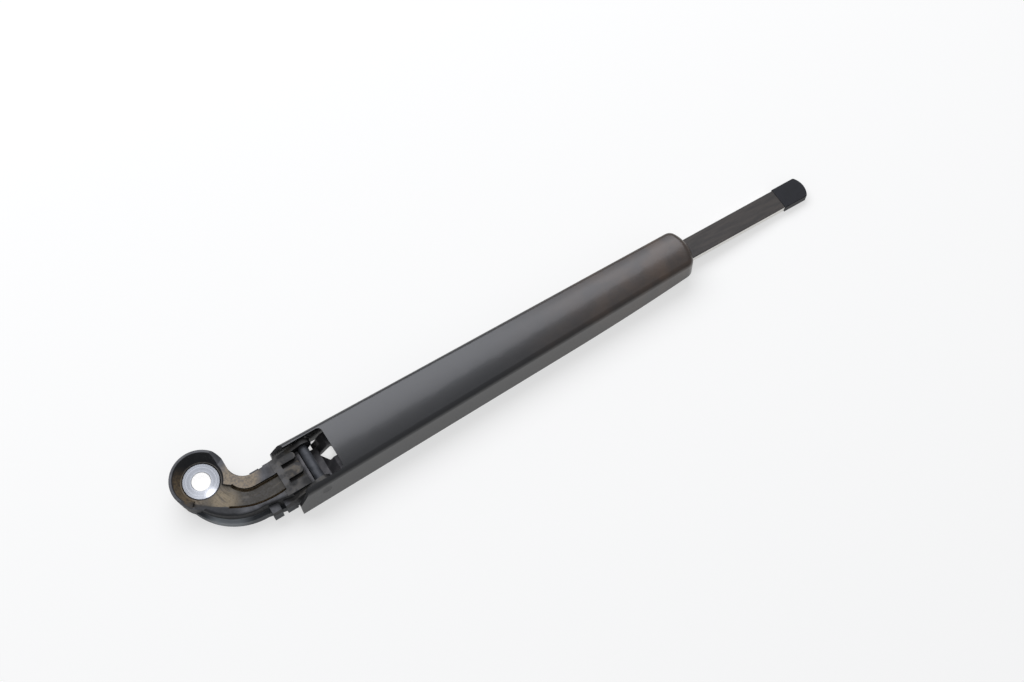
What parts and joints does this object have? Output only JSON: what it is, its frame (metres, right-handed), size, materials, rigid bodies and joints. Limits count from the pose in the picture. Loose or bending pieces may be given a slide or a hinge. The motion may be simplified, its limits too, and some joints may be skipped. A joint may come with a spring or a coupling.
{
  "type": "wiper arm",
  "caption": "Rear-window wiper arm: cast gooseneck head for a spindle, sprung folding hinge, tapered folded channel and a flat bar with a capped tip.",
  "frame": {"origin": "on the spindle axis, in the plane of the head's underside", "axes": "+X along the arm from the head to the tip, +Y across towards the spindle's side, +Z out of the glass"},
  "size_m": [0.3165, 0.0454, 0.0162],
  "materials": {
    "head_coat": "worn satin",
    "bare_metal": "turned",
    "bush_plastic": "matt",
    "pin_steel": "dull",
    "arm_coat": "satin",
    "rod_coat": "dusty satin",
    "cap_plastic": "matt",
    "spring_steel": "oiled",
    "hook_steel": "dull, stained"
  },
  "bodies": {
    "head": {"mounting_head": "head_coat", "spindle_bush": "bare_metal", "hinge_bush_far": "bush_plastic", "hinge_bush_near": "bush_plastic", "hook_pin": "pin_steel"},
    "arm": {"arm_channel": "arm_coat", "hinge_pin": "pin_steel", "flat_rod": "rod_coat", "tip_cap": "cap_plastic"},
    "spring": {"tension_spring": "spring_steel"},
    "hook": {"spring_hook": "hook_steel"}
  },
  "joints": [
    {"name": "arm_lift", "type": "hinge", "parent": "head", "child": "arm", "pos_m": [0.0434, -0.018, 0.0096], "axis": [0, -1, 0], "range_deg": [0, 60], "stiffness_Nm_per_rad": 0.2, "springref_deg": -85.94},
    {"name": "spring_swing", "type": "hinge", "parent": "arm", "child": "spring", "pos_m": [0.15872, -0.018, 0.00527], "axis": [0, 1, 0], "range_deg": [0, 2.1]},
    {"name": "hook_slide", "type": "slide", "parent": "spring", "child": "hook", "axis": [-1, 0, 0], "range_m": [0, 0.003], "deforming": ["tension_spring"]}
  ],
  "couplings": [
    {"joint": "spring_swing", "follows": "arm_lift", "ratio": 0.0334},
    {"joint": "hook_slide", "follows": "arm_lift", "m_per_rad": 0.00275}
  ]
}
